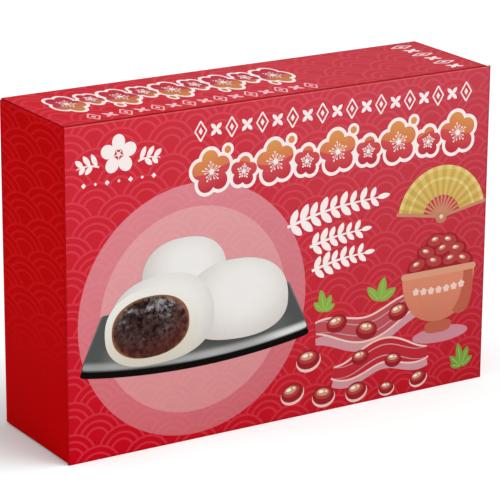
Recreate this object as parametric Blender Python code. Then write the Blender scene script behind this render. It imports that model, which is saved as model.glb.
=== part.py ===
"""A shut tuck-end carton of filled rice cakes, standing on one long narrow side.

Metres, +Z up. The front panel faces -Y, and the origin is the middle of the base.
The carton is one folded and glued piece of board, shut at both ends, so it is one solid.
Its lid hinges on the back panel. It lies on the folded tops of the end panels, a little
below the cut top edge of the front panel, and tucks in behind that edge.
"""

import bmesh
import bpy

# Outside of the shut carton
WIDTH = 0.175
DEPTH = 0.048
HEIGHT = 0.120

# Board
BOARD = 0.00045
FOLD_RADIUS = 0.0008
FOLD_SEGMENTS = 4

# Lid: its drops are from the front panel's top edge, and its inset from the end panels' outside.
LID_DROP = 0.0002
LID_INSET = 0.0012
LID_SIDE_GAP = 0.0003
TUCK_GAP = 0.0006
TUCK_REACH = 0.004
END_FOLD_DROP = 0.0006
LID_BED_DROP = 0.0012
LID_ROOT_DROP = 0.003

# Bottom flap, flush with the base
BOTTOM_GAP = 0.0004
BOTTOM_GAP_REACH = 0.002

# The right end panel is glued over a flap of the back panel, and its cut edge shows there.
SEAM_GAP = 0.0003
SEAM_REACH = 0.0008
SEAM_END = 0.003

# Cutters reach this far past the surface that they cut.
OVERRUN = 0.002

# Points closer than this are taken to be in one place.
NEAR = 1e-5

PRINTED_RED = (0.52, 0.007, 0.017, 1.0)
BOARD_ROUGHNESS = 0.4

# Planes that the walls and flaps share
HALF_WIDTH = WIDTH / 2
HALF_DEPTH = DEPTH / 2
SIDE_INSIDE = HALF_WIDTH - BOARD
FRONT_INSIDE = -HALF_DEPTH + BOARD
BACK_INSIDE = HALF_DEPTH - BOARD
LID_SIDE = HALF_WIDTH - LID_INSET
LID_FRONT = FRONT_INSIDE + TUCK_GAP
LID_TOP = HEIGHT - LID_DROP
END_TOP = HEIGHT - END_FOLD_DROP


def clear_scene():
    for old in list(bpy.data.objects):
        bpy.data.objects.remove(old, do_unlink=True)


def new_collection(name):
    collection = bpy.data.collections.new(name)
    bpy.context.scene.collection.children.link(collection)
    return collection


def board_material():
    material = bpy.data.materials.new("printed_board")
    material.use_nodes = True
    surface = material.node_tree.nodes["Principled BSDF"]
    surface.inputs["Base Color"].default_value = PRINTED_RED
    surface.inputs["Roughness"].default_value = BOARD_ROUGHNESS
    surface.inputs["Metallic"].default_value = 0.0
    return material


def box(name, low, high, collection):
    """A box between two corners."""
    shape = bmesh.new()
    bmesh.ops.create_cube(shape, size=1.0)
    for vert in shape.verts:
        vert.co = [b if place > 0 else a for place, a, b in zip(vert.co, low, high)]
    mesh = bpy.data.meshes.new(name)
    shape.to_mesh(mesh)
    shape.free()
    made = bpy.data.objects.new(name, mesh)
    collection.objects.link(made)
    return made


def edges_at(shape, place):
    """The edges of a bmesh that lie wholly at a place, such as {"x": 0.1, "z": 0}."""
    return [
        edge
        for edge in shape.edges
        if all(
            abs(getattr(vert.co, axis) - value) < NEAR
            for vert in edge.verts
            for axis, value in place.items()
        )
    ]


def fold(target, places):
    """Rounds the target's edges at each place, as folded board is."""
    shape = bmesh.new()
    shape.from_mesh(target.data)
    bmesh.ops.bevel(
        shape,
        geom=[edge for place in places for edge in edges_at(shape, place)],
        offset=FOLD_RADIUS,
        offset_type="OFFSET",
        segments=FOLD_SEGMENTS,
        profile=0.5,
        affect="EDGES",
        material=-1,
    )
    shape.to_mesh(target.data)
    shape.free()


def combine(target, operation, others):
    """Joins the others to the target by UNION, or cuts them from it by DIFFERENCE."""
    for other in others:
        other.display_type = "WIRE"
        other.hide_render = True
        modifier = target.modifiers.new(other.name, "BOOLEAN")
        modifier.operation = operation
        modifier.solver = "EXACT"
        modifier.object = other
    bpy.context.view_layer.update()
    graph = bpy.context.evaluated_depsgraph_get()
    result = bpy.data.meshes.new_from_object(target.evaluated_get(graph))
    target.modifiers.clear()
    target.data = result


def make_walls(part, helpers):
    """The four walls, folded at three corners and glued at the fourth, with the top open for the lid."""
    walls = box("carton", (-HALF_WIDTH, -HALF_DEPTH, 0), (HALF_WIDTH, HALF_DEPTH, HEIGHT), part)
    fold(
        walls,
        [
            {"x": -HALF_WIDTH, "y": -HALF_DEPTH},
            {"x": HALF_WIDTH, "y": -HALF_DEPTH},
            {"x": -HALF_WIDTH, "y": HALF_DEPTH},
            {"y": HALF_DEPTH, "z": 0},
        ],
    )
    above_ends = box(
        "above_ends",
        (-HALF_WIDTH - OVERRUN, FRONT_INSIDE, END_TOP),
        (HALF_WIDTH + OVERRUN, HALF_DEPTH + OVERRUN, HEIGHT + OVERRUN),
        helpers,
    )
    combine(walls, "DIFFERENCE", [above_ends])
    fold(walls, [{"x": -HALF_WIDTH, "z": END_TOP}, {"x": HALF_WIDTH, "z": END_TOP}])
    lid_bed = box(
        "lid_bed",
        (-LID_SIDE - LID_SIDE_GAP, FRONT_INSIDE, HEIGHT - LID_BED_DROP),
        (LID_SIDE + LID_SIDE_GAP, HALF_DEPTH + OVERRUN, HEIGHT + OVERRUN),
        helpers,
    )
    combine(walls, "DIFFERENCE", [lid_bed])
    return walls


def add_lid(walls, helpers):
    """The lid, folded at its hinge and where it tucks in, with the slit behind the front panel."""
    lid = box(
        "lid",
        (-LID_SIDE, LID_FRONT, HEIGHT - LID_ROOT_DROP),
        (LID_SIDE, HALF_DEPTH, LID_TOP),
        helpers,
    )
    fold(lid, [{"y": LID_FRONT, "z": LID_TOP}, {"y": HALF_DEPTH, "z": LID_TOP}])
    combine(walls, "UNION", [lid])
    tuck_slit = box(
        "tuck_slit",
        (-LID_SIDE, FRONT_INSIDE, HEIGHT - TUCK_REACH),
        (LID_SIDE, LID_FRONT, HEIGHT + OVERRUN),
        helpers,
    )
    combine(walls, "DIFFERENCE", [tuck_slit])


def cut_bottom_and_seam(walls, helpers):
    """The slit round the bottom flap's three free sides, and the one beside the glued corner."""
    bottom_slit = box(
        "bottom_slit",
        (-SIDE_INSIDE, FRONT_INSIDE, -OVERRUN),
        (SIDE_INSIDE, BACK_INSIDE - BOARD, BOTTOM_GAP_REACH),
        helpers,
    )
    bottom_flap = box(
        "bottom_flap",
        (-SIDE_INSIDE + BOTTOM_GAP, FRONT_INSIDE + BOTTOM_GAP, -2 * OVERRUN),
        (SIDE_INSIDE - BOTTOM_GAP, HALF_DEPTH, 2 * OVERRUN),
        helpers,
    )
    combine(bottom_slit, "DIFFERENCE", [bottom_flap])
    seam_slit = box(
        "seam_slit",
        (SIDE_INSIDE - SEAM_GAP, HALF_DEPTH - SEAM_REACH, SEAM_END),
        (SIDE_INSIDE, HALF_DEPTH + OVERRUN, HEIGHT - SEAM_END),
        helpers,
    )
    combine(walls, "DIFFERENCE", [bottom_slit, seam_slit])


def build_carton():
    clear_scene()
    part = new_collection("rice_cake_carton")
    helpers = new_collection("cutters")
    helpers.hide_render = True
    carton = make_walls(part, helpers)
    add_lid(carton, helpers)
    cut_bottom_and_seam(carton, helpers)
    carton.data.materials.clear()
    carton.data.materials.append(board_material())
    carton.data.shade_smooth()
    carton.data.set_sharp_from_angle(angle=0.6)


build_carton()
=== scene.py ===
"""The looks of a shut folding carton of filled rice cakes.

Sizes are in metres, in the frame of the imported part: +Z up, the front panel faces -Y, and the
origin is the middle of the base. The printed design is laid out in millimetres on each panel.
"""

import math

import bmesh
import bpy
from bpy.props import FloatProperty, FloatVectorProperty, PointerProperty
from mathutils import Matrix, Vector


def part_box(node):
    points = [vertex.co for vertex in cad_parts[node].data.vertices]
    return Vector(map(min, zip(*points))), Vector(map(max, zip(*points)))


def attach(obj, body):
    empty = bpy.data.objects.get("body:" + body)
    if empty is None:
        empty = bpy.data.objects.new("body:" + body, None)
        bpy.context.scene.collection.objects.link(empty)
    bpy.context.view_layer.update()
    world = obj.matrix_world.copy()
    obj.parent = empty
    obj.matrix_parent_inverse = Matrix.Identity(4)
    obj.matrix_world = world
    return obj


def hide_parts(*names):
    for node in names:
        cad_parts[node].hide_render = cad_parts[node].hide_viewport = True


bl_info = {
    "name": "Rice Cake Carton",
    "version": (1, 0, 0),
    "blender": (4, 5, 0),
    "location": "3D View > Sidebar > Carton",
    "description": "Builds a shut folding carton with its printed design, and a studio for it",
    "category": "Object",
}

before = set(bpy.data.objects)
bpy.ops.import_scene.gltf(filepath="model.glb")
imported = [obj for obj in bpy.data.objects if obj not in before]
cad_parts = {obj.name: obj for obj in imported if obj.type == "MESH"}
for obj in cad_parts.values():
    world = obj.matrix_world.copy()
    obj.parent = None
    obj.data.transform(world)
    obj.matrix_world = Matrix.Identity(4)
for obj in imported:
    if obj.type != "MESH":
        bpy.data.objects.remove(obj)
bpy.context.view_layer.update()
LOW, HIGH = (Vector(corner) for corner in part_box("carton"))
MIDDLE = (LOW + HIGH) / 2

MM = 0.001

# The carton's width and height in millimetres
WIDE = 175.0
TALL = 120.0

# How many flat steps a fold is bent in
FOLD_STEPS = 6

# Distances between panels where one board passes another
CLEARANCE = 0.00005
FOLD_LEG = 0.0002

# Ink, in millimetres: each layer's rise over the last, each plate's depth, and the trifle that
# keeps two shapes of one layer out of the same plane, with how many trifles a layer has
INK_STEP = 0.018
INK_DEPTH = 0.03
INK_TRIFLE = 0.0007
INK_TRIFLES = 25

# Pale discs on the front, in millimetres: their middle and their two radii
DISC_MIDDLE = (50.0, 48.0)
OUTER_DISC = 46.0
INNER_DISC = 37.5

# Pictured tray, in millimetres: the middle of its front edge, half its width and depth, how much
# narrower its back is, how far its front corners curl up, and the power that squares its corners
TRAY_FRONT = (51.1, 29.1)
TRAY_WIDE = 46.5
TRAY_DEEP = 10.3
TRAY_TAPER = 0.19
TRAY_CURL = 4.0
TRAY_SQUARE = 30

# How often a blossom's or bean's shape repeats, and the angle between two petals
PETALS = 5
PETAL_TURN = math.tau / PETALS

# Reflection of the red ground's satin varnish, whose sheen takes the ink's colour
GROUND_GLOSS = {"gloss": 0.05, "gloss_tint": (1.0, 0.16, 0.18)}
END_GLOSS = {"gloss": 0.005, "gloss_tint": (1.0, 0.16, 0.18)}

# Painted light: the deep red of a painted shadow beside a slit, that of painted shade at a crease, and the
# reds of painted highlights on the front's top cut edge and on the ends' top folds
SLIT_SHADOW_RED = (0.31, 0.0, 0.001)
CREASE_SHADE_RED = (0.20, 0.0, 0.001)
HIGHLIGHT_RED = (1.0, 0.26, 0.26)
FOLD_HIGHLIGHT_RED = (0.80, 0.035, 0.040)

# Inks: the light shade, and for some the dark one and the heights at which each is full
INKS = {
    "white": ((0.97, 0.83, 0.81), (0.93, 0.80, 0.78)),
    "cream": ((0.90, 0.66, 0.58), (0.82, 0.52, 0.46)),
    "blush": ((0.90, 0.50, 0.53),),
    "tray_under": ((0.006, 0.005, 0.004),),
    "tray_rim": ((0.16, 0.16, 0.155), (0.045, 0.043, 0.040), 26.0, 48.0),
    "cut_rim": ((0.83, 0.79, 0.74), (0.64, 0.57, 0.46), 28.0, 56.0),
    "band": ((0.54, 0.080, 0.095),),
    "deep_band": ((0.55, 0.014, 0.030),),
    "pale_band": ((0.66, 0.30, 0.34),),
    "bean_dark": ((0.42, 0.012, 0.026), (0.30, 0.006, 0.014)),
    "bean_light": ((0.50, 0.045, 0.050),),
    "bean_glow": ((0.66, 0.33, 0.17),),
    "leaf": ((0.25, 0.42, 0.055), (0.16, 0.32, 0.040), 0.0, 45.0),
    "vein": ((0.50, 0.62, 0.16),),
    "straw": ((0.72, 0.50, 0.13), (0.64, 0.42, 0.10), 60.0, 88.0),
    "dark_straw": ((0.62, 0.39, 0.085), (0.54, 0.32, 0.07), 60.0, 88.0),
    "fan_edge": ((0.80, 0.62, 0.22),),
    "dark_fan_edge": ((0.70, 0.50, 0.15),),
    "rib": ((0.62, 0.26, 0.15), (0.50, 0.18, 0.10), 55.0, 76.0),
    "clay": ((0.69, 0.235, 0.135), (0.60, 0.17, 0.095), 22.0, 46.0),
    "clay_shade": ((0.55, 0.115, 0.065),),
    "clay_lip": ((0.74, 0.33, 0.20),),
    "pool": ((0.64, 0.25, 0.30),),
}
BEAN_INKS = ("bean_dark", "bean_light", "bean_glow")

# Deep and light red, and deep and light orange, of the garlands
GARLAND = ((0.52, 0.025, 0.045), (0.64, 0.070, 0.080), (0.70, 0.19, 0.075), (0.72, 0.30, 0.08))
LID_GARLAND = ((0.50, 0.008, 0.030), (0.50, 0.024, 0.050), (0.56, 0.13, 0.050), (0.58, 0.21, 0.055))

# Photograph
IMAGE_SIZE = 500
SENSOR = 36.0


# Settings


def metres(name, description, default):
    return FloatProperty(name=name, description=description, default=default, unit="LENGTH")


def degrees(name, description, turn):
    return FloatProperty(name=name, description=description, default=math.radians(turn), subtype="ANGLE")


def number(name, description, default):
    return FloatProperty(name=name, description=description, default=default)


def rgb(name, description, default):
    return FloatVectorProperty(
        name=name, description=description, default=default, subtype="COLOR", size=3, min=0.0, max=1.0
    )


class CartonSizes(bpy.types.PropertyGroup):
    """Sizes of the folded board."""

    board: metres("Board", "Thickness of the board", 0.00045)
    fold_radius: metres("Fold radius", "Outside radius of a folded corner", 0.0005)
    setback: metres("Setback", "How far the front and back lie inside the carton's box, for the ink", 0.0002)
    lid_drop: metres("Lid drop", "How far the lid lies below the front panel's cut top edge", 0.0002)
    lid_inset: metres("Lid inset", "How far the lid's cut ends stop short of the end panels", 0.0008)
    tuck_gap: metres("Tuck gap", "Width of the slit between the front panel and the lid", 0.0006)
    tuck_length: metres("Tuck length", "How far the lid's front flap reaches down inside", 0.014)
    dust_flap: metres("Dust flap", "How far an end panel's flap reaches in under the lid", 0.030)
    end_drop: metres("End drop", "How far an end's folded top lies below the front's top edge", 0.0007)
    glue_flap: metres("Glue flap", "How far the back's glued flap reaches along the right end", 0.012)
    flap_gap: metres("Flap gap", "Slit round the bottom flap", 0.0004)


class CartonColours(bpy.types.PropertyGroup):
    """Colours of the print and the bare board, with a painted sheen, and darker reds that paint shade on the
    ends and the cut edges.
    """

    red: rgb("Red", "Ground colour of the print", (0.535, 0.0008, 0.010))
    wave: rgb("Wave lines", "Colour of the wave pattern's lines", (0.603, 0.023, 0.040))
    # Painted shade: the ends' reds are darker copies of the front's
    shaded_end_red: rgb("Red of the ends", "Deeper ground colour of the ends", (0.490, 0.0002, 0.0012))
    shaded_end_wave: rgb("Wave lines of the ends", "Colour of the ends' lines", (0.572, 0.0050, 0.0070))
    # Painted sheen: the pale tint that stands for the varnish's reflection
    painted_sheen: rgb("Pale tint", "What the ground is tinted with where the print is paler", (1.0, 0.76, 0.96))
    # The cut edge's colour is darkened to a deep red that paints the shadow line along the slits
    board_edge: rgb("Cut edge", "Colour of the board where it is cut", (0.47, 0.004, 0.011))
    board_inside: rgb("Board inside", "Colour of the board's unprinted side", (0.50, 0.47, 0.43))


class StudioSettings(bpy.types.PropertyGroup):
    """Camera and lights."""

    azimuth: degrees("Azimuth", "Where the camera stands round the carton, from the front", -31.83)
    elevation: degrees("Elevation", "How far the camera looks down", 17.33)
    roll: degrees("Roll", "How far the camera leans", 0.38)
    distance: metres("Distance", "From the camera to the point that it looks at", 0.9716)
    focal_pixels: number("Focal length in pixels", "Focal length in the photograph's pixels", 2697.7)
    aim_across: metres("Aim across", "From the carton's middle to the point looked at, across", -0.00014)
    aim_up: metres("Aim up", "From the carton's middle to the point looked at, upwards", -0.00249)
    key_strength: number("Key strength", "Strength of the broad key light from the front right", 1.9)
    fill_strength: number("Fill strength", "Strength of the light that comes from all round", 0.56)


# Nodes


class Value:
    """What a node gives out. Arithmetic on it makes Math nodes."""

    def __init__(self, socket):
        self.socket = socket

    def __add__(self, other):
        return calc("ADD", self, other)

    def __sub__(self, other):
        return calc("SUBTRACT", self, other)

    def __mul__(self, other):
        return calc("MULTIPLY", self, other)

    def __truediv__(self, other):
        return calc("DIVIDE", self, other)


def tree_of(values):
    """The node tree of the first of these that a node gives out."""
    return next(value.socket.id_data for value in values if isinstance(value, Value))


def feed(tree, socket, value):
    """Links a node's output to a socket, or sets the socket's own value."""
    if isinstance(value, Value):
        tree.links.new(value.socket, socket)
    else:
        socket.default_value = value


def add_node(tree, kind, feeds=(), **settings):
    """A new node with its settings, and with each named or numbered input fed."""
    node = tree.nodes.new(kind)
    for name, value in settings.items():
        setattr(node, name, value)
    for key, value in dict(feeds).items():
        feed(tree, node.inputs[key], value)
    return node


def outputs(tree, kind, feeds=(), **settings):
    """What a new node gives out, by name."""
    return {socket.name: Value(socket) for socket in add_node(tree, kind, feeds, **settings).outputs}


def calc(operation, *values):
    """A Math node's result."""
    return outputs(tree_of(values), "ShaderNodeMath", enumerate(values), operation=operation)["Value"]


def ramp(value, start, end, low=0.0, high=1.0):
    """A value that goes smoothly from low at start to high at end."""
    feeds = {"Value": value, "From Min": start, "From Max": end, "To Min": low, "To Max": high}
    node = add_node(tree_of((value,)), "ShaderNodeMapRange", feeds, interpolation_type="SMOOTHSTEP")
    return Value(node.outputs["Result"])


def mix(factor, first, second):
    """A colour between two others, each a node's or a plain one."""
    tree = tree_of((factor, first, second))
    feeds = {"Factor": factor}
    for key, colour in ((6, first), (7, second)):
        feeds[key] = colour if isinstance(colour, Value) else opaque(colour)
    return Value(add_node(tree, "ShaderNodeMix", feeds, data_type="RGBA").outputs[2])


def scaled(vector, factor):
    """A colour or a place times a number."""
    feeds = {0: vector, "Scale": factor}
    node = add_node(tree_of((vector, factor)), "ShaderNodeVectorMath", feeds, operation="SCALE")
    return Value(node.outputs[0])


def distance_from(across, up, middle_across, middle_up, wide=1.0, high=1.0):
    """How far a place lies from a middle, counted in the two half widths."""
    aside = (across - middle_across) / wide
    above = (up - middle_up) / high
    return calc("SQRT", aside * aside + above * above)


def opaque(colour):
    return (*colour, 1.0)


def noise(place, scale, detail=2.0, roughness=0.5):
    """A noise texture's value, at a place given in millimetres."""
    feeds = {"Vector": place, "Scale": scale, "Detail": detail, "Roughness": roughness}
    return Value(add_node(tree_of((place,)), "ShaderNodeTexNoise", feeds).outputs["Fac"])


def new_group(name, given, made):
    """A node group with numbers or places going in and numbers coming out."""
    tree = bpy.data.node_groups.new(name, "ShaderNodeTree")
    for socket, default in given.items():
        kind = "NodeSocketVector" if isinstance(default, tuple) else "NodeSocketFloat"
        tree.interface.new_socket(socket, in_out="INPUT", socket_type=kind).default_value = default
    for socket in made:
        tree.interface.new_socket(socket, in_out="OUTPUT", socket_type="NodeSocketFloat")
    return tree, outputs(tree, "NodeGroupInput"), tree.nodes.new("NodeGroupOutput").inputs


def wave_scales_group():
    """Rows of overlapping scales, each drawn as three rings, as in the traditional wave pattern.

    Lengths are in millimetres. Lower rows lie in front of upper ones.
    """
    name = "wave_scales"
    if name in bpy.data.node_groups:
        return bpy.data.node_groups[name]
    sizes = {
        "Across": 0.0, "Up": 0.0, "Pitch": 19.7, "Row Step": 5.9, "Radius": 9.85,
        "Ring Step": 2.5, "Line Width": 0.85, "First Top": 5.4, "First Centre": 11.1,
    }
    tree, given, result = new_group(name, sizes, ["Line"])
    up, radius = given["Up"], given["Radius"]
    lowest_row = calc("CEIL", (up - given["First Top"]) / given["Row Step"])
    turns = (given["Across"] - given["First Centre"]) / given["Pitch"]
    reaches = []
    for step in range(3):
        row = lowest_row + float(step)
        rise = up - (row * given["Row Step"] + given["First Top"]) + radius
        place = row * 0.5 + turns + 0.5
        aside = (place - calc("FLOOR", place) - 0.5) * given["Pitch"]
        reaches.append(calc("SQRT", rise * rise + aside * aside))
    nearest, middle, reach = reaches
    for nearer in (middle, nearest):
        reach = calc("LESS_THAN", nearer, radius) * (nearer - reach) + reach
    half_line = given["Line Width"] * 0.5
    depth = radius - reach - half_line
    ring = calc("MAXIMUM", calc("ROUND", depth / given["Ring Step"]), 0.0)
    ring = calc("MINIMUM", ring, 2.0)
    off_line = calc("ABSOLUTE", depth - ring * given["Ring Step"])
    blur = 0.12
    feed(tree, result["Line"], ramp(off_line, half_line - blur, half_line + blur, 1.0, 0.0))
    return tree


def board_finish_group():
    """The coated board's slight mottle, its sheen, and the fine texture of its surface."""
    name = "board_finish"
    if name in bpy.data.node_groups:
        return bpy.data.node_groups[name]
    inputs = {"Place": (0.0, 0.0, 0.0), "Roughness": 0.42}
    tree, given, result = new_group(name, inputs, ["Shade", "Roughness", "Height"])
    cloudy = noise(given["Place"], 0.09, 3.0, 0.6)
    fine = noise(given["Place"], 2.4, 2.0, 0.6)
    fibres = noise(given["Place"], 0.8, 3.0, 0.7)
    feed(tree, result["Shade"], (fine - 0.5) * 0.05 + ((cloudy - 0.5) * 0.05 + 1.0))
    feed(tree, result["Roughness"], (fibres - 0.5) * 0.14 + given["Roughness"])
    feed(tree, result["Height"], fibres * 0.6 + fine * 0.4)
    return tree


class Paint:
    """A material, and its place on the carton in millimetres: how far it lies across from the left
    end, inward from the front, from the back, and up.
    """

    def __init__(self, name):
        self.material = bpy.data.materials.new(name)
        self.material.use_nodes = True
        self.tree = self.material.node_tree
        self.place = scaled(outputs(self.tree, "ShaderNodeTexCoord")["Object"], 1.0 / MM)
        self.parts = outputs(self.tree, "ShaderNodeSeparateXYZ", {0: self.place})
        self.up = self.parts["Z"]

    @property
    def across(self):
        return self.parts["X"] - LOW.x / MM

    @property
    def inward(self):
        return self.parts["Y"] - LOW.y / MM

    @property
    def from_back(self):
        return self.parts["Y"] * -1.0 + HIGH.y / MM

    def finish(self, colour, roughness=0.42, bump=0.25, gloss=0.2, gloss_tint=(1.0, 1.0, 1.0)):
        """Gives the surface its colour and the varnished board's texture."""
        feeds = {"Place": self.place, "Roughness": roughness}
        board = outputs(self.tree, "ShaderNodeGroup", feeds, node_tree=board_finish_group())
        height = {"Strength": bump, "Distance": 0.00003, "Height": board["Height"]}
        parts = {
            "Base Color": scaled(colour, board["Shade"]),
            "Roughness": board["Roughness"],
            "Specular IOR Level": gloss,
            "Specular Tint": opaque(gloss_tint),
            "Normal": outputs(self.tree, "ShaderNodeBump", height)["Normal"],
        }
        surface = self.tree.nodes["Principled BSDF"]
        for key, value in parts.items():
            feed(self.tree, surface.inputs[key], value)
        return self.material


def mark_wear(paint, colour, distance, reach, strength):
    """Lightens a colour in broken patches beside a line where the board is folded."""
    near = ramp(calc("ABSOLUTE", distance), 0.0, reach, 1.0, 0.0)
    patches = ramp(noise(paint.place, 1.1, 4.0, 0.7), 0.46, 0.62, 0.35, 1.0)
    return mix(near * patches * strength, colour, (0.95, 0.70, 0.68))


def paint_light_beside_line(colour, distance, reach, depth, full=0.0, shade=CREASE_SHADE_RED):
    """Paints light and shade beside a line, mixing a shade into a colour: as much as depth within full, and
    none past reach.
    """
    return mix(ramp(calc("ABSOLUTE", distance), full, reach, depth, 0.0), colour, shade)


def paint_shading_and_sheen(colour, painted_shading, tint):
    """Paints shading into a colour, darkening or brightening it by the given amount, and mixes in the
    painted sheen by the tint.
    """
    return mix(tint, scaled(colour, painted_shading), bpy.context.scene.carton_colours.painted_sheen)


def printed_red(across, up, lines=1.0, deep=False, **pattern):
    """The red ground, or the ends' darker one that paints their shade, with the wave pattern over it in a
    lighter red.
    """
    colours = bpy.context.scene.carton_colours
    ground, wave = (colours.shaded_end_red, colours.shaded_end_wave) if deep else (colours.red, colours.wave)
    feeds = {"Across": across, "Up": up, **pattern}
    scales = outputs(tree_of((across,)), "ShaderNodeGroup", feeds, node_tree=wave_scales_group())
    return mix(scales["Line"] * lines, ground, wave)


def bare_board(name, grain, darkening, **finish):
    """The board's cut edge, whose deep red paints the shadow line along the slits, or its unprinted side,
    made once.
    """
    if name in bpy.data.materials:
        return bpy.data.materials[name]
    paint = Paint(name)
    light = getattr(bpy.context.scene.carton_colours, name)
    dark = [darkening * part for part in light]
    return paint.finish(mix(noise(paint.place, *grain), dark, light), **finish)


# Pieces


def add_piece(shape, name, materials):
    """Turns a bmesh into a piece of the carton that rides with it."""
    mesh = bpy.data.meshes.new(name)
    shape.to_mesh(mesh)
    shape.free()
    for material in materials:
        mesh.materials.append(material)
    piece = bpy.data.objects.new(name, mesh)
    bpy.context.scene.collection.objects.link(piece)
    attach(piece, "root")
    return piece


def folded_board(name, axis, start, end, outline, material):
    """A strip of board bent along an outline, with its folds rounded.

    The outline holds the outside corners of the bend, seen along an axis. The strip reaches along
    that axis from start to end, and its widest panel faces away from the carton's middle.
    """
    sizes = bpy.context.scene.carton_sizes
    shape = bmesh.new()
    along = "XYZ".index(axis)
    verts = [shape.verts.new((*point[:along], start, *point[along:])) for point in outline]
    edges = [shape.edges.new(pair) for pair in zip(verts, verts[1:])]
    made = bmesh.ops.extrude_edge_only(shape, edges=edges)["geom"]
    for part in made:
        if isinstance(part, bmesh.types.BMVert):
            part.co[along] = end
    shape.normal_update()
    panel = max(shape.faces, key=lambda face: face.calc_area())
    if panel.normal.dot(panel.calc_center_median() - MIDDLE) < 0:
        bmesh.ops.reverse_faces(shape, faces=shape.faces)
    bent = bmesh.ops.bevel(
        shape,
        geom=[edge for edge in shape.edges if len(edge.link_faces) == 2],
        offset=sizes.fold_radius,
        offset_type="OFFSET",
        segments=FOLD_STEPS,
        profile=0.5,
        affect="EDGES",
        material=-1,
    )
    for face in bent["faces"]:
        face.smooth = True
    # The cut edge's deep red paints the shadow line along the slits
    edge = bare_board("board_edge", (3.0, 3.0, 0.6), 0.72, roughness=0.7, gloss=0.02)
    inside = bare_board("board_inside", (1.6, 4.0, 0.7), 0.8, roughness=0.8)
    piece = add_piece(shape, name, [material, edge, inside])
    wall = piece.modifiers.new("board", "SOLIDIFY")
    wall.thickness = sizes.board
    wall.offset = -1.0
    wall.use_even_offset = True
    wall.material_offset_rim = 1
    wall.material_offset = 2
    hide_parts("carton")
    return piece


# Edges of ink shapes: each takes how far a point of a circle lies aside and above, and moves it


def oval(wide, high):
    """The edge of an oval, from its two half widths."""
    return lambda aside, above: (wide * aside, high * above)


def mound(wide, high, low, square=0.85):
    """A squarish oval whose upper and lower halves differ in height."""

    def edge(aside, above):
        half = high if above > 0 else low
        return (
            wide * math.copysign(abs(aside) ** square, aside),
            half * math.copysign(abs(above) ** square, above),
        )

    return edge


def dish(wide, half_depth):
    """A tray's square edge seen from its front: narrower at its back, and its front corners curl up."""

    def edge(aside, above):
        reach = (abs(aside) ** TRAY_SQUARE + abs(above) ** TRAY_SQUARE) ** (-1 / TRAY_SQUARE)
        narrowed = wide * reach * aside * (1 - TRAY_TAPER * (reach * above + 1) / 2)
        return narrowed, half_depth * reach * above + TRAY_CURL * (narrowed / wide) ** 2

    return edge


def bar(length, thick):
    """A bar with round ends, along the across direction."""
    straight = (length - thick) / 2

    def edge(aside, above):
        return thick / 2 * aside + math.copysign(straight, aside), thick / 2 * above

    return edge


def blossom(reach, extra=0.0):
    """Round petals about a middle, and extra all round them."""
    middle = 0.58 * reach

    def edge(aside, above):
        angle = math.atan2(above, aside)
        turn = (angle - math.pi / 2 + PETAL_TURN / 2) % PETAL_TURN - PETAL_TURN / 2
        round_end = reach - middle + extra
        radius = middle * math.cos(turn) + math.sqrt(round_end**2 - (middle * math.sin(turn)) ** 2)
        return radius * aside, radius * above

    return edge


def leaf(length, wide):
    """A leaf that points both ways and starts at its stem."""

    return lambda aside, above: (length / 2 * (1 + aside), wide / 2 * above * abs(above) ** 0.5)


def lozenge(wide, high):
    """An upright lozenge, from its two half widths."""

    def edge(aside, above):
        reach = 1 / (abs(aside) / wide + abs(above) / high)
        return reach * aside, reach * above

    return edge


# Ink


def polar(angle, radius):
    return Vector((math.cos(angle), math.sin(angle))) * radius


def panel_matrix(side):
    """From millimetres across, up and out of a printed side to metres on the carton."""
    sizes = bpy.context.scene.carton_sizes
    origin, *columns = {
        "front": ((LOW.x, LOW.y + sizes.setback, LOW.z), (1, 0, 0), (0, 0, 1), (0, -1, 0)),
        "back": ((HIGH.x, HIGH.y - sizes.setback, LOW.z), (-1, 0, 0), (0, 0, 1), (0, 1, 0)),
        "lid": ((HIGH.x, HIGH.y, HIGH.z - sizes.lid_drop), (-1, 0, 0), (0, -1, 0), (0, 0, 1)),
    }[side]
    matrix = Matrix([Vector(column) * MM for column in columns]).transposed().to_4x4()
    matrix.translation = origin
    return matrix


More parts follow.
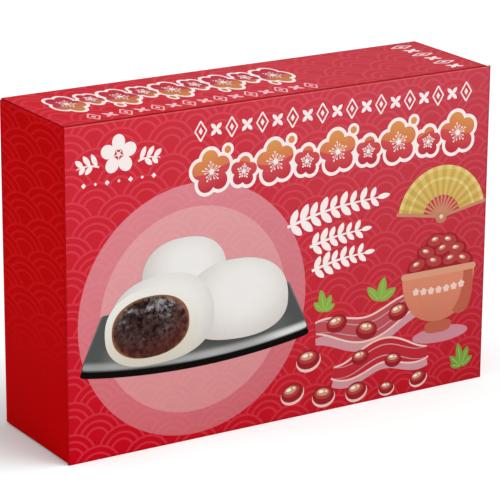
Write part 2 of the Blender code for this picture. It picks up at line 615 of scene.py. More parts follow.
class Ink:
    """Flat shapes of ink on one side, in millimetres across and up it, in layers one on another."""

    def __init__(self, name, side, *inks, **special):
        self.name = name
        self.side = side
        self.materials = {ink: ink_material(ink) for ink in inks} | special
        self.order = list(self.materials)
        self.whole = bmesh.new()
        self.sheet = bpy.data.meshes.new(name + "_sheet")
        self.made = 0
        self.layout = Matrix.Identity(4)

    def lay_out(self, x, y, wide=1.0, high=1.0, turn=0.0):
        """Moves, stretches and turns the shapes that follow."""
        stretch = Matrix.Diagonal((wide, high, 1, 1))
        self.layout = Matrix.Translation((x, y, 0)) @ stretch @ Matrix.Rotation(turn, 4, "Z")

    def settle(self, shape, ink, layer, x, y, turn):
        """Gives a shape its ink, puts it in its place, and adds it to the rest."""
        height = layer * INK_STEP + self.made % INK_TRIFLES * INK_TRIFLE
        place = Matrix.Translation((x, y, height)) @ Matrix.Rotation(turn, 4, "Z")
        bmesh.ops.transform(shape, matrix=self.layout @ place, verts=shape.verts)
        shape.normal_update()
        turned = [face for face in shape.faces if face.normal.z < 0]
        if turned:
            bmesh.ops.reverse_faces(shape, faces=turned)
        if ink:
            for face in shape.faces:
                face.material_index = self.order.index(ink)
        shape.to_mesh(self.sheet)
        shape.free()
        self.whole.from_mesh(self.sheet)
        self.made += 1

    def outline(self, ink, layer, edge, x=0.0, y=0.0, turn=0.0, steps=32, flat_top=None):
        """A shape inside an edge; it may be cut flat at the top."""
        shape = bmesh.new()
        bmesh.ops.create_circle(shape, cap_ends=True, segments=steps, radius=1.0)
        for vert in shape.verts:
            angle = math.atan2(vert.co.y, vert.co.x)
            vert.co.xy = edge(math.cos(angle), math.sin(angle))
        if flat_top is not None:
            bmesh.ops.bisect_plane(
                shape,
                geom=[*shape.verts, *shape.edges, *shape.faces],
                plane_co=(0, flat_top, 0),
                plane_no=(0, 1, 0),
                clear_outer=True,
            )
        self.settle(shape, ink, layer, x, y, turn)

    def ribbon(self, ink, layer, path, half_width, steps=40, x=0.0, y=0.0):
        """A band along a path, which gives a point for each share of its length."""
        shape = bmesh.new()
        bmesh.ops.create_grid(shape, x_segments=steps, y_segments=1, size=1.0)
        for vert in shape.verts:
            share = (vert.co.x + 1) / 2
            here, ahead, behind = (Vector(path(share + step)) for step in (0.0, 0.001, -0.001))
            along = (ahead - behind).normalized()
            aside = Vector((-along.y, along.x)) * half_width(share)
            vert.co.xy = here + aside * vert.co.y
        self.settle(shape, ink, layer, x, y, 0.0)

    def pleats(self, bands, layer, radii, start, end, count, x=0.0, y=0.0):
        """A fan's pleats: bands give the light and dark ink between each two radii."""
        shape = bmesh.new()
        verts = [shape.verts.new(polar(start, radius).to_3d()) for radius in radii]
        edges = [shape.edges.new(pair) for pair in zip(verts, verts[1:])]
        sweep = end - start
        spin = {"cent": (0, 0, 0), "axis": (0, 0, 1), "angle": sweep, "steps": 2 * count}
        bmesh.ops.spin(shape, geom=[*verts, *edges], **spin)
        for face in shape.faces:
            middle = face.calc_center_median()
            turned = math.atan2(middle.y, middle.x) - start
            side = int(turned / sweep * 2 * count) % 2
            band = sum(middle.length > radius for radius in radii[1:-1])
            face.material_index = self.order.index(bands[band][side])
        self.settle(shape, None, layer, x, y, 0.0)

    def finish(self):
        """Sets the shapes on their side as a piece, each a thin closed plate."""
        bpy.data.meshes.remove(self.sheet)
        bmesh.ops.transform(self.whole, matrix=panel_matrix(self.side), verts=self.whole.verts)
        piece = add_piece(self.whole, self.name, self.materials.values())
        plate = piece.modifiers.new("ink", "SOLIDIFY")
        plate.thickness = INK_DEPTH * MM
        plate.offset = -1.0
        return piece


# Ink materials


def ink_material(ink):
    """An ink that goes from its dark shade at one height to its light one at another, made once."""
    name = ink + "_ink"
    if name in bpy.data.materials:
        return bpy.data.materials[name]
    light, *rest = INKS[ink]
    dark, low, high = (*rest, *[[0.9 * part for part in light], 0.0, TALL][len(rest):])
    paint = Paint(name)
    return paint.finish(mix(ramp(paint.up, low, high), dark, light), roughness=0.38, bump=0.15)


def garland_ink(name, boundary, shades, lies_flat=False):
    """Orange above a wavy boundary and red below it, each with its deep and its light shade."""
    paint = Paint(name)
    up = paint.parts["Y"] * -1.0 if lies_flat else paint.up
    swell = calc("SINE", paint.parts["X"] * 0.22)
    above = up - (swell * 1.6 + boundary)
    red = mix(ramp(above, -9.0, 0.0), *shades[:2])
    orange = mix(ramp(above, 0.0, 9.0), *shades[2:])
    return paint.finish(mix(ramp(above, -0.25, 0.25), red, orange), roughness=0.38, bump=0.15, gloss=0.1)


def rice_cake_ink(name, x, z, wide, high):
    """A floury white rice cake, shaded towards its foot and its edges."""
    paint = Paint(name)
    reach = distance_from(paint.across, paint.up, x + 0.12 * wide, z + 0.3 * high, wide, high)
    flour = noise(paint.place, 0.55, 4.0, 0.65)
    colour = mix(ramp((flour - 0.5) * 0.16 + reach, 0.30, 1.40), (0.845, 0.80, 0.775), (0.60, 0.53, 0.485))
    return paint.finish(colour, roughness=0.5, bump=0.3)


def bean_paste_ink(x, z, wide, high):
    """The cut filling: dark, grainy bean paste that shines in places and browns at its rim."""
    paint = Paint("bean_paste_ink")
    grains = noise(paint.place, 0.55, 5.0, 0.7)
    lumps = noise(paint.place, 0.15, 3.0, 0.55)
    colour = mix(ramp(grains, 0.36, 0.66), (0.012, 0.003, 0.003), (0.080, 0.038, 0.032))
    upper = ramp(paint.up - z, -0.5 * high, 0.6 * high, 0.12, 1.0)
    lit = ramp(lumps, 0.42, 0.66) * ramp(grains, 0.40, 0.72) * upper
    colour = mix(lit, colour, (0.40, 0.37, 0.38))
    glow = distance_from(paint.across, paint.up, x - 0.15 * wide, z + 0.5 * high, wide, high)
    brown = ramp(glow, 0.6, 1.3) * ramp(grains, 0.35, 0.65, 0.5, 1.0) * 0.7
    colour = mix(brown, colour, (0.13, 0.020, 0.012))
    reach = distance_from(paint.across, paint.up, x, z, wide, high)
    colour = mix(ramp(grains * 0.14 + reach, 0.97, 1.06, 0.0, 0.85), colour, (0.30, 0.12, 0.045))
    return paint.finish(colour, roughness=0.34, bump=0.4)


def tray_ink():
    """A dark glazed tray with a light streak along its front, brightest at its right, and the cakes'
    soft shadows on it.
    """
    paint = Paint("tray_ink")
    x, front = TRAY_FRONT
    aside = (paint.across - x) / TRAY_WIDE
    square = aside * aside
    inward = paint.up - square * TRAY_CURL - front
    lit = ramp(inward, 11.0, 3.0) * ramp(square, 0.35, 0.75, 1.0, 0.0)
    colour = mix(lit, (0.083, 0.086, 0.084), (0.215, 0.215, 0.205))
    for middle, height in ((36.0, 33.0), (67.0, 35.5)):
        reach = distance_from(paint.across, paint.up, middle, height, 20.0, 4.6)
        colour = mix(ramp(reach, 0.5, 1.2, 0.7, 0.0), colour, (0.03, 0.028, 0.026))
    streak = ramp(inward, 0.2, 1.1) * ramp(inward, 1.9, 4.1, 1.0, 0.0)
    streak = streak * ramp(noise(paint.place, 0.05, 2.0, 0.5), 0.3, 0.7, 0.8, 1.0)
    colour = mix(streak * ramp(aside, 0.45, 0.85, 0.42, 1.0), colour, (0.74, 0.74, 0.72))
    return paint.finish(colour, roughness=0.32, bump=0.15)


# Motifs


def add_garland(ink, x, y, wide=1.0, high=1.0):
    """Large and small plum blossoms in turn, filled with colour and outlined in white."""
    ink.lay_out(x, y, wide, high)
    for step in range(9):
        large = step % 2 == 0
        reach = 7.8 if large else 5.4
        place = {"x": 8.8 + 13.0 * step, "y": 9.5 + (0.3 if large else -1.3), "turn": 0.12 * (-1) ** step}
        middle = Vector((place["x"], place["y"]))
        ink.outline("white", 1, blossom(reach, 1.3), steps=80, **place)
        ink.outline("fill", 3, blossom(reach), steps=80, **place)
        ink.outline("white", 5, blossom(reach * 0.15), steps=30, **place)
        for petal in range(PETALS):
            turn = place["turn"] + math.pi / 2 + petal * PETAL_TURN
            for aside, length in ((0.0, 0.46), (-0.34, 0.34), (0.34, 0.34)):
                tip = polar(turn + aside, reach * length)
                stalk = bar(reach * length * 0.7, 0.22)
                ink.outline("white", 6, stalk, *(middle + tip * 0.7), turn + aside, 8)
                ink.outline("white", 6, oval(0.34, 0.34), *(middle + tip), steps=8)
        if large and step < 8:
            ink.outline("white", 2, oval(2.4, 2.4), place["x"] + 6.5, 16.9, steps=24)
            ink.outline("fill", 4, oval(1.3, 1.3), place["x"] + 6.5, 16.9, steps=20)
    ink.lay_out(0, 0)


def add_small_row(ink, x, y, count, pitch, wide=1.0, high=1.0, upright=0.0, shade="white"):
    """Small pale lozenges and four-petalled flowers in turn."""
    ink.lay_out(x, y, wide, high, upright)
    for step in range(count):
        place = {"x": pitch * step, "y": 0.0}
        if step % 2:
            for petal in range(4):
                ink.outline(shade, 1, leaf(2.9, 1.5), turn=(petal + 0.5) * math.pi / 2, steps=16, **place)
            continue
        for aside, above in ((1, 1), (-1, 1), (-1, -1), (1, -1)):
            turn = math.atan2(3.5 * above, -2.3 * aside)
            ink.outline(shade, 1, bar(4.5, 0.6), pitch * step + 1.15 * aside, 1.75 * above, turn, 12)
        ink.outline(shade, 1, lozenge(0.8, 1.3), steps=8, **place)
    ink.lay_out(0, 0)


def add_crest(ink, x, y):
    """An open plum blossom between two sprigs, over a row of dots."""
    middle = Vector((x, y))
    for petal in range(PETALS):
        turn = math.pi / 2 + petal * PETAL_TURN
        ink.outline("white", 1, oval(2.75, 2.5), *(middle + polar(turn, 4.3)), turn, 28)
        turn += PETAL_TURN / 2
        ink.outline("white", 1, bar(2.2, 0.4), *(middle + polar(turn, 1.9)), turn, 10)
        ink.outline("white", 1, oval(0.5, 0.5), *(middle + polar(turn, 3.3)), steps=10)
    ink.outline("white", 1, oval(0.8, 0.8), x, y, steps=16)
    for side in (-1, 1):

        def stem(share):
            return side * (7.5 + 8.5 * share), -3.4 + 3.2 * share - 3.0 * share * share

        def taper(share):
            return 0.36 - 0.2 * share

        ink.ribbon("white", 1, stem, taper, 12, x, y)
        for share, tilt, size in (
            (0.1, 1.15, 5.0), (0.4, 0.95, 4.6), (0.72, 0.7, 3.8), (0.3, -0.75, 3.8), (0.65, -0.9, 3.2),
        ):
            turn = tilt if side > 0 else math.pi - tilt
            ink.outline("white", 1, leaf(size, 1.9), *(middle + Vector(stem(share))), turn, 16)
    for step in range(7):
        size = 0.95 if step % 2 == 0 else 0.6
        ink.outline("white", 1, lozenge(size, size), x - 13.5 + 4.5 * step, y - 9.2, steps=8)


def add_twig(ink, x, y, length, size):
    """A leafy twig that leans upwards to the right: paired leaves along a stem, and one at its end."""

    def stem(share):
        return length * share, 0.035 * length * math.sin(math.pi * share)

    def taper(share):
        return 0.55 - 0.3 * share

    ink.lay_out(x, y, turn=math.radians(8))
    ink.ribbon("white", 2, stem, taper, 24)
    pairs = round(length / (0.62 * size))
    for pair in range(pairs):
        share = (pair + 0.35) / pairs
        reach = size * (1.0 - 0.28 * share) * (1.0 if pair % 2 else 0.9)
        for tilt in (0.98, -0.86):
            ink.outline("white", 1, leaf(reach, 0.47 * reach), *stem(share), tilt, 20)
    ink.outline("white", 1, leaf(0.8 * size, 0.3 * size), *stem(1.0), -0.05, 20)
    ink.lay_out(0, 0)


def add_bean(ink, x, y, size, turn, layer, rimmed):
    """A glossy red bean with a lit side and two glints, which may have a pale rim."""
    if rimmed:
        ink.outline("cream", layer, oval(5.0 * size, 3.9 * size), x + 0.1, y - 0.7 * size, turn)
    ink.outline("bean_dark", layer + 1, oval(4.7 * size, 3.5 * size), x, y, turn)
    at = Matrix.Rotation(turn, 2)
    for ink_name, up, wide, high, aside, above in (
        ("bean_light", 2, 3.6, 2.2, -0.3, 0.8),
        ("bean_glow", 3, 2.6, 1.4, -0.5, 1.3),
        ("white", 4, 1.1, 0.6, -1.2, 1.6),
        ("white", 4, 0.5, 0.35, 1.0, 1.6),
    ):
        moved = at @ Vector((aside, above)) * size
        spot = oval(wide * size, high * size)
        ink.outline(ink_name, layer + up, spot, x + moved.x, y + moved.y, turn, 20)


def add_sprig(ink, x, y, leaves):
    """A tuft of green leaves that fan out of one foot, each with its vein."""
    for turn, length, wide in leaves:
        ink.outline("leaf", 1, leaf(length, wide), x, y, turn, 24)
        middle = Vector((x, y)) + polar(turn, length * 0.45)
        ink.outline("vein", 3, bar(length * 0.7, 0.28), *middle, turn, 8)


# Printed grounds, with painted shading, sheen, highlights and shadows


def turn_to_end(colour, past):
    """Goes over past a fold to the ends' darker red, which paints their shade, darkened a little more as
    painted shade at the fold.
    """
    shaded_end_red = bpy.context.scene.carton_colours.shaded_end_red
    return mix(ramp(past, 0.02, 0.25), colour, [0.93 * part for part in shaded_end_red])


def front_print_material():
    """The front's red ground with two pale discs; painted shading, a painted sheen that grows towards the
    top right, and painted highlight and shade along its edges.
    """
    paint = Paint("front_print")
    across, up = paint.across, paint.up
    reach = distance_from(across, up, *DISC_MIDDLE)
    outer = ramp(reach, OUTER_DISC - 0.3, OUTER_DISC, 1.0, 0.0)
    inner = ramp(reach, INNER_DISC - 0.3, INNER_DISC, 0.15, 0.0)
    colour = printed_red(across, up, outer * -0.45 + 1.0)
    colour = mix(outer * (up * 0.0009 + 0.142), colour, (1.0, 0.86, 0.94))
    colour = mix(inner, colour, (1.0, 0.88, 0.80))
    # Painted shading, brighter towards the top left, and a painted sheen that grows towards the top right
    aside, above = across / WIDE, up / TALL
    rightward = ramp(aside, 0.0, 0.75)
    tint = above * (rightward * 0.030 + 0.032) + rightward * 0.009
    colour = paint_shading_and_sheen(colour, (above - aside) * 0.17 + 1.0, tint)
    # Painted highlight and painted slit shadow along the top edge; painted shade beside the right fold and
    # at the foot
    top = up - TALL
    colour = paint_light_beside_line(colour, top, 0.85, 0.42, shade=HIGHLIGHT_RED)
    colour = paint_light_beside_line(colour, top, 0.2, 0.9, 0.1, SLIT_SHADOW_RED)
    colour = paint_light_beside_line(colour, across - (WIDE - 0.25), 1.2, 0.3)
    colour = paint_light_beside_line(colour, up, 1.1, 0.3)
    return paint.finish(turn_to_end(colour, paint.inward - 0.2), **GROUND_GLOSS)


def end_print_material():
    """An end's red ground, darker as painted shade, whose stretched wave pattern fades out towards the
    bottom, made once.
    """
    name = "end_print"
    if name in bpy.data.materials:
        return bpy.data.materials[name]
    paint = Paint(name)
    lines = ramp(paint.up, 20.0, 60.0, 0.0, 0.85)
    pattern = {"Row Step": 5.68, "First Top": 118.4, "First Centre": 20.3}
    colour = printed_red(paint.from_back / 1.675, paint.up, lines, True, **pattern)
    # Painted shade at the foot and beside the front fold, and a painted highlight along the top fold
    colour = paint_light_beside_line(colour, paint.up, 2.0, 0.3)
    colour = paint_light_beside_line(colour, paint.up - (TALL - 0.7), 0.9, 0.16, 0.2, FOLD_HIGHLIGHT_RED)
    return paint.finish(paint_light_beside_line(colour, paint.inward, 3.5, 0.2), **END_GLOSS)


def lid_print_material():
    """The lid's red ground, with the wave pattern stretched from front to back, painted shading, a painted
    sheen and a painted slit shadow.
    """
    paint = Paint("lid_print")
    pattern = {"First Top": 4.8, "First Centre": 6.2}
    colour = printed_red(paint.across, paint.inward / 1.69, **pattern)
    leftward = paint.across * (-1.0 / WIDE) + 1.0
    # Painted shading, brighter towards the left, and a painted sheen that grows towards the right
    colour = paint_shading_and_sheen(colour, leftward * 0.14 + 0.94, ramp(leftward, 0.4, 1.0, 0.038, 0.006))
    colour = mark_wear(paint, colour, paint.from_back - 0.5, 0.8, 0.10)
    # Painted shadow beside the slit at the front fold
    colour = paint_light_beside_line(colour, paint.inward - 1.25, 1.8, 1.0, 0.9, SLIT_SHADOW_RED)
    return paint.finish(colour, **GROUND_GLOSS)


def back_print_material():
    """The back's red ground with the wave pattern and an even painted sheen."""
    paint = Paint("back_print")
    across = paint.parts["X"] * -1.0 + HIGH.x / MM
    # An even painted sheen
    colour = paint_shading_and_sheen(printed_red(across, paint.up), 1.0, 0.03)
    colour = mark_wear(paint, colour, paint.up - (TALL - 1.0), 0.9, 0.08)
    return paint.finish(turn_to_end(colour, paint.from_back - 0.2), **GROUND_GLOSS)


def bottom_print_material():
    """The bottom flap's ground in the ends' darker red of painted shade, with the wave pattern, a little
    scuffed.
    """
    paint = Paint("bottom_print")
    colour = printed_red(paint.across, paint.inward / 1.8, deep=True)
    rubbed = ramp(noise(paint.place, 0.35, 4.0, 0.7), 0.55, 0.75, 0.0, 0.12)
    return paint.finish(mix(rubbed, colour, (0.9, 0.6, 0.58)), **GROUND_GLOSS)


# Operators


class CARTON_OT_walls(bpy.types.Operator):
    """Build the four walls of folded board, with the flaps that the lid and bottom cover"""

    bl_idname = "carton.walls"
    bl_label = "Walls"

    def execute(self, context):
        sizes = context.scene.carton_sizes
        leg = sizes.fold_radius + FOLD_LEG
        front, back = LOW.y + sizes.setback, HIGH.y - sizes.setback
        outline = [(HIGH.x, front + leg), (HIGH.x, front), (LOW.x, front), (LOW.x, front + leg)]
        folded_board("front_panel", "Z", LOW.z, HIGH.z, outline, front_print_material())
        glued = HIGH.x - sizes.board - CLEARANCE
        outline = [(glued, back - sizes.glue_flap), (glued, back), (LOW.x, back), (LOW.x, back - leg)]
        top = HIGH.z - leg - sizes.lid_drop
        folded_board("back_panel", "Z", LOW.z + leg, top, outline, back_print_material())

        # Each end's dust flaps fold in, under the lid and over the bottom flap
        top, bottom = HIGH.z - sizes.end_drop, LOW.z + sizes.board + CLEARANCE
        for name, outside, flap, back_edge in (
            ("left_end", LOW.x, LOW.x + sizes.dust_flap, back - leg),
            ("right_end", HIGH.x, HIGH.x - sizes.dust_flap, HIGH.y),
        ):
            outline = [(flap, top), (outside, top), (outside, bottom), (flap, bottom)]
            folded_board(name, "Y", front + leg, back_edge, outline, end_print_material())
        return {"FINISHED"}


class CARTON_OT_lid(bpy.types.Operator):
    """Build the lid and the bottom flap, both hinged on the back panel and tucked in at the front"""

    bl_idname = "carton.lid"
    bl_label = "Lid and bottom flap"

    def execute(self, context):
        sizes = context.scene.carton_sizes
        leg = sizes.fold_radius + FOLD_LEG
        back = HIGH.y - sizes.setback
        front_inside = LOW.y + sizes.setback + sizes.board
        front = front_inside + sizes.tuck_gap
        top = HIGH.z - sizes.lid_drop
        outline = [(front, top - sizes.tuck_length), (front, top), (back, top), (back, top - leg)]
        side = HIGH.x - sizes.lid_inset
        folded_board("lid", "X", -side, side, outline, lid_print_material())
        front = front_inside + sizes.flap_gap
        outline = [(back, LOW.z + leg), (back, LOW.z), (front, LOW.z), (front, LOW.z + sizes.tuck_length)]
        side = HIGH.x - sizes.board - sizes.flap_gap
        folded_board("bottom_flap", "X", -side, side, outline, bottom_print_material())
        return {"FINISHED"}


class CARTON_OT_ornament(bpy.types.Operator):
    """Print the blossom garlands, small rows, crest and twigs on the front, the lid and the back"""

    bl_idname = "carton.ornament"
    bl_label = "Blossoms and twigs"

    def execute(self, context):
        fill = garland_ink("front_garland_ink", 97.6, GARLAND)
        garland = Ink("front_garland", "front", "white", fill=fill)
        add_garland(garland, 48.0, 87.0)
        garland.finish()

        crest = Ink("front_crest", "front", "white")
        add_crest(crest, 20.5, 108.0)
        add_small_row(crest, 52.5, 111.7, 19, 6.2)
        crest.finish()

        twigs = Ink("front_twigs", "front", "white")
        add_twig(twigs, 88.0, 72.0, 38.5, 6.9)
        add_twig(twigs, 97.5, 63.2, 22.0, 5.9)
        add_twig(twigs, 98.5, 54.2, 22.5, 5.9)
        twigs.finish()

        fill = garland_ink("lid_garland_ink", -3.0, LID_GARLAND, lies_flat=True)
        lid = Ink("lid_ornament", "lid", "white", "blush", fill=fill)
        add_garland(lid, 69.0, 6.5, 0.80, 1.37)
        add_small_row(lid, 72.5, 39.4, 15, 6.2, 1.0, 1.15, shade="blush")
        add_small_row(lid, 11.0, 6.5, 6, 6.8, 1.25, 1.0, math.pi / 2)
        lid.finish()

        fill = garland_ink("back_garland_ink", 61.0, GARLAND)
        back = Ink("back_ornament", "back", "white", fill=fill)
        add_garland(back, 26.5, 50.5)
        add_small_row(back, 31.5, 76.0, 19, 6.2)
        add_small_row(back, 31.5, 44.0, 19, 6.2)
        back.finish()
        return {"FINISHED"}


class CARTON_OT_rice_cakes(bpy.types.Operator):
    """Print the cut and whole rice cakes on their tray"""

    bl_idname = "carton.rice_cakes"
    bl_label = "Rice cakes"

    def execute(self, context):
        ink = Ink(
            "front_rice_cakes",
            "front",
            "tray_under",
            "tray_rim",
            "cut_rim",
            tray=tray_ink(),
            far=rice_cake_ink("far_cake_ink", 46.0, 61.0, 17.0, 14.0),
            whole=rice_cake_ink("whole_cake_ink", 67.0, 47.0, 21.5, 17.0),
            cut=rice_cake_ink("cut_cake_ink", 37.0, 46.0, 21.0, 17.0),
            paste=bean_paste_ink(32.5, 44.5, 15.6, 11.6),
        )
        x, front = TRAY_FRONT
        middle = front + TRAY_DEEP
        ink.outline("tray_under", 1, dish(TRAY_WIDE + 0.4, TRAY_DEEP - 0.1), x, middle - 2.4, steps=200)
        ink.outline("tray_rim", 2, dish(TRAY_WIDE, TRAY_DEEP), x, middle, steps=200)
        ink.outline("tray", 3, dish(TRAY_WIDE - 0.6, TRAY_DEEP - 0.3), x, middle, steps=200)
        for shape, layer, edge, *place in (
            ("far", 5, mound(17.0, 14.5, 12.0), 46.0, 60.5),
            ("whole", 6, mound(21.5, 17.5, 12.0), 67.0, 46.5, -0.05),
            ("cut", 7, mound(21.0, 17.5, 14.5), 37.0, 45.5, 0.06),
            ("cut_rim", 8, mound(18.6, 14.6, 13.4), 33.0, 44.4, 0.04),
            ("paste", 9, mound(15.4, 11.4, 10.8, 0.88), 32.5, 44.6, 0.02),
        ):
            ink.outline(shape, layer, edge, *place, steps=72)
        ink.finish()
        return {"FINISHED"}


class CARTON_OT_stream(bpy.types.Operator):
    """Print the winding bands, the beans along them and the green leaves"""

    bl_idname = "carton.stream"
    bl_label = "Bands, beans and leaves"

    def execute(self, context):
        inks = ("white", "cream", "band", "deep_band", "pale_band", *BEAN_INKS, "leaf", "vein")
        ink = Ink("front_stream", "front", *inks)
        for x, y, *leaves in (
            (104.0, 38.0, (1.1, 6.5, 3.0), (1.75, 8.5, 3.2), (2.4, 6.0, 2.8), (0.45, 5.0, 2.4)),
            (128.0, 38.0, (0.5, 8.0, 3.6), (1.35, 9.0, 3.8), (2.3, 8.0, 3.4)),
            (165.5, 6.0, (0.6, 6, 2.6), (1.2, 8, 3), (1.75, 9.5, 3), (2.4, 7, 2.8), (2.9, 5, 2.2)),
        ):
            add_sprig(ink, x, y, leaves)
        self.add_band(ink, "band", 5.2, (100.5, 47.5), (29.2, 4.3), (3.0, 1.55, 6.65))
        self.add_band(ink, "deep_band", 4.2, (108, 42), (15.5, 1.5), (2.4, 3.9, 7.5))
        for x, y, size, turn in (
            (109.5, 32.5, 0.95, 0.15), (122.5, 27.8, 1.0, -0.20), (136.5, 32.5, 0.95, 0.20),
            (120.0, 17.8, 0.80, 0.10), (134.5, 14.2, 0.80, -0.15),
        ):
            add_bean(ink, x, y, size, turn, 4, False)
        for x, y, size, turn in (
            (97.5, 21.0, 1.05, 0.05), (90.8, 9.5, 1.0, 0.20), (104.2, 6.0, 1.0, -0.10),
            (118.5, 5.2, 0.95, 0.15), (131.8, 3.9, 0.7, -0.05), (146.0, 5.2, 0.8, 0.25),
        ):
            add_bean(ink, x, y, size, turn, 1, True)
        ink.finish()
        return {"FINISHED"}

    def add_band(self, ink, fill, drop, across, rise, swing):
        """A winding band over its pale underside, which hangs by drop.

        Across and rise hold a start and a length, and swing a height, a phase and a rate.
        """

        def path(share):
            winding = swing[0] * math.sin(swing[1] + swing[2] * share)
            return across[0] + across[1] * share, rise[0] + rise[1] * share + winding

        def half_width(share):
            return 4.3 * math.sin(math.pi * (0.06 + 0.88 * share)) ** 0.55

        def under(share):
            return 0.72 * half_width(share)

        def edged(share):
            return half_width(share) + 0.75

        def thin(share):
            return 0.22 * math.sin(math.pi * share) ** 0.5 + 0.02

        ink.ribbon("pale_band", 1, path, under, 48, 0.0, -drop)
        ink.ribbon("cream", 2, path, edged, 48)
        ink.ribbon(fill, 3, path, half_width, 48)
        for aside in (-2.1, 2.1):
            ink.ribbon("pale_band", 4, path, thin, 40, 0.0, aside)


class CARTON_OT_fan(bpy.types.Operator):
    """Print the folding fan, and the bowl heaped with beans below it"""

    bl_idname = "carton.fan"
    bl_label = "Fan and bowl"

    def execute(self, context):
        fan_inks = ("straw", "dark_straw", "fan_edge", "dark_fan_edge", "rib")
        bowl_inks = ("clay", "clay_shade", "clay_lip", "pool")
        ink = Ink("front_fan", "front", "white", "cream", *fan_inks, *bowl_inks, *BEAN_INKS)
        self.add_fan(ink, 154.5, 66.0)
        self.add_bowl(ink)
        ink.finish()
        return {"FINISHED"}

    def add_fan(self, ink, x, y):
        """An open fan on its ribs, with a guard rib at each end and a pivot."""
        pivot = Vector((x, y))
        start, end, count = math.radians(10), math.radians(170), 12
        for rib in range(count + 1):
            turn = start + (end - start) * rib / count
            ink.outline("rib", 1, bar(13.5, 0.9), *(pivot + polar(turn, 4.2)), turn, 10)
        bands = (("straw", "dark_straw"), ("fan_edge", "dark_fan_edge")) * 2
        ink.pleats(bands, 3, (8.2, 14.0, 15.0, 17.9, 19.4), start, end, count, x, y)
        for turn in (start, end):
            ink.outline("rib", 4, bar(22.5, 1.3), *(pivot + polar(turn, 9.0)), turn, 12)
        ink.outline("rib", 5, oval(1.7, 1.7), x, y, steps=20)
        ink.outline("cream", 6, oval(0.8, 0.8), x, y, steps=14)

    def add_bowl(self, ink):
        """A clay bowl with a row of blossoms, heaped with beans, on a pale pool."""
        ink.outline("pool", 1, oval(12.5, 3.1), 155.5, 20.5, steps=48)
        ink.outline("clay_shade", 5, mound(6.0, 2.0, 2.8, 0.7), 154.3, 24.2, steps=32)
        ink.outline("clay", 6, mound(16.2, 17.0, 19.0, 0.92), 154.0, 45.0, steps=72, flat_top=0.0)
        ink.outline("clay_shade", 7, mound(7.0, 17.0, 17.6, 0.9), 162.3, 44.8, 0.12, 48, 0.0)
        ink.outline("clay", 8, mound(10.5, 17.0, 17.8, 0.9), 154.8, 44.9, 0.03, 48, 0.0)
        for step in range(7):
            drop = 0.9 * (1 - ((step - 3) / 3.4) ** 2)
            ink.outline("cream", 9, blossom(1.5), 144.0 + 3.4 * step, 38.9 - drop, steps=30)
        for x, y, turn in (
            (144.5, 48.2, 0.3), (152.0, 48.8, -0.2), (159.6, 48.6, 0.2),
            (165.2, 47.9, -0.35), (148.6, 52.6, -0.25), (156.0, 53.0, 0.3),
            (162.0, 52.2, 0.0), (152.6, 56.6, 0.15), (158.4, 56.0, -0.25),
        ):
            ink.outline("bean_dark", 1, oval(4.6, 3.3), x, y, turn, 28)
            ink.outline("bean_light", 3, oval(3.5, 2.1), x - 0.2, y + 0.6, turn, 24)
            ink.outline("bean_glow", 4, oval(1.5, 0.8), x - 0.6, y + 1.1, turn, 16)
            ink.outline("white", 5, oval(0.8, 0.4), x - 0.9, y + 1.3, turn, 12)
        ink.outline("clay_lip", 9, bar(33.5, 2.6), 154.0, 45.0, steps=28)


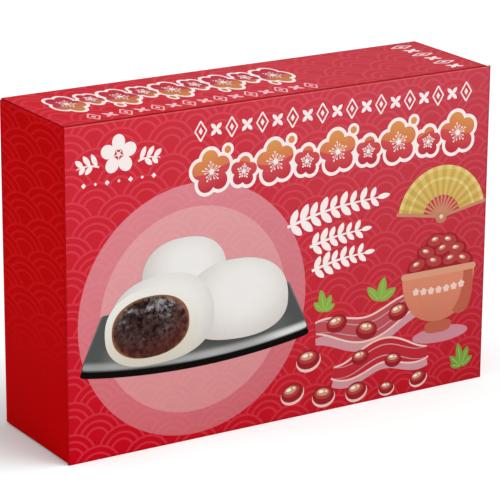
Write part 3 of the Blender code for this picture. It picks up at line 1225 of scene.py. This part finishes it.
class CARTON_OT_studio(bpy.types.Operator):
    """Set up the floor, the lights and the camera"""

    bl_idname = "carton.studio"
    bl_label = "Studio"

    def execute(self, context):
        self.add_floor(context)
        self.add_key(context)
        self.add_world(context)
        self.add_camera(context)
        return {"FINISHED"}

    def add_floor(self, context):
        shape = bmesh.new()
        bmesh.ops.create_grid(shape, x_segments=1, y_segments=1, size=4.0)
        mesh = bpy.data.meshes.new("floor")
        shape.to_mesh(mesh)
        shape.free()
        material = bpy.data.materials.new("studio_floor")
        material.use_nodes = True
        surface = material.node_tree.nodes["Principled BSDF"]
        for key, value in {
            "Base Color": (0.89, 0.97, 0.965, 1.0),
            "Roughness": 1.0,
            "Specular IOR Level": 0.0,
            "Emission Color": (1.0, 1.0, 1.0, 1.0),
            "Emission Strength": 0.08,
        }.items():
            surface.inputs[key].default_value = value
        mesh.materials.append(material)
        floor = bpy.data.objects.new("floor", mesh)
        context.scene.collection.objects.link(floor)
        floor.visible_glossy = False

    def add_key(self, context):
        sun = bpy.data.lights.new("key", "SUN")
        sun.energy = context.scene.carton_studio.key_strength
        sun.angle = math.radians(40)
        key = bpy.data.objects.new("key", sun)
        key.visible_glossy = False
        toward = Vector((0.42, -0.34, 1.0))
        key.rotation_euler = toward.to_track_quat("Z", "Y").to_euler()
        context.scene.collection.objects.link(key)

    def add_world(self, context):
        """White to the camera, soft light to surfaces, and brighter at the upper right in mirrors."""
        world = bpy.data.worlds.new("studio")
        world.use_nodes = True
        tree = world.node_tree
        rays = outputs(tree, "ShaderNodeLightPath")
        direction = outputs(tree, "ShaderNodeTexCoord")["Generated"]
        parts = outputs(tree, "ShaderNodeSeparateXYZ", {0: direction})
        mirrored = ramp(parts["Z"], 0.0, 0.25) * (ramp(parts["X"], -0.3, 0.6) * 0.42 + 0.02)
        soft = (parts["X"] * -0.5 + 1.0) * context.scene.carton_studio.fill_strength
        fill = rays["Is Glossy Ray"] * (mirrored - soft) + soft
        strength = rays["Is Camera Ray"] * (fill * -1.0 + 1.0) + fill
        feed(tree, tree.nodes["Background"].inputs["Strength"], strength)
        tree.nodes["Background"].inputs["Color"].default_value = (1.0, 1.0, 1.0, 1.0)
        world.cycles.sampling_method = "NONE"
        context.scene.world = world
        context.scene.view_settings.view_transform = "Standard"

    def add_camera(self, context):
        studio = context.scene.carton_studio
        lens = bpy.data.cameras.new("photo_camera")
        lens.sensor_width = SENSOR
        lens.lens = studio.focal_pixels * SENSOR / IMAGE_SIZE
        lens.clip_start = 0.05
        lens.clip_end = 20.0
        level = Matrix.Rotation(studio.azimuth, 3, "Z")
        tilt = Matrix.Rotation(math.pi / 2 - studio.elevation, 3, "X")
        turned = level @ tilt
        aim = turned @ Vector((studio.aim_across, studio.aim_up, 0)) + MIDDLE
        turned = turned @ Matrix.Rotation(studio.roll, 3, "Z")
        camera = bpy.data.objects.new("photo_camera", lens)
        place = Matrix.Translation(aim + turned.col[2] * studio.distance)
        camera.matrix_world = place @ turned.to_4x4()
        context.scene.collection.objects.link(camera)
        context.scene.camera = camera


class CARTON_PT_panel(bpy.types.Panel):
    """The steps that build the carton, in order"""

    bl_label = "Carton"
    bl_idname = "CARTON_PT_panel"
    bl_space_type = "VIEW_3D"
    bl_region_type = "UI"
    bl_category = "Carton"

    def draw(self, context):
        for step in STEPS:
            self.layout.operator(step.bl_idname)


STEPS = (
    CARTON_OT_walls,
    CARTON_OT_lid,
    CARTON_OT_ornament,
    CARTON_OT_rice_cakes,
    CARTON_OT_stream,
    CARTON_OT_fan,
    CARTON_OT_studio,
)
CLASSES = (CartonSizes, CartonColours, StudioSettings, *STEPS, CARTON_PT_panel)


def register():
    for item in CLASSES:
        bpy.utils.register_class(item)
    bpy.types.Scene.carton_sizes = PointerProperty(type=CartonSizes)
    bpy.types.Scene.carton_colours = PointerProperty(type=CartonColours)
    bpy.types.Scene.carton_studio = PointerProperty(type=StudioSettings)


def unregister():
    del bpy.types.Scene.carton_studio
    del bpy.types.Scene.carton_colours
    del bpy.types.Scene.carton_sizes
    for item in reversed(CLASSES):
        bpy.utils.unregister_class(item)


def main():
    register()
    bpy.ops.carton.walls()
    bpy.ops.carton.lid()
    bpy.ops.carton.ornament()
    bpy.ops.carton.rice_cakes()
    bpy.ops.carton.stream()
    bpy.ops.carton.fan()
    bpy.ops.carton.studio()


if __name__ == "__main__":
    main()
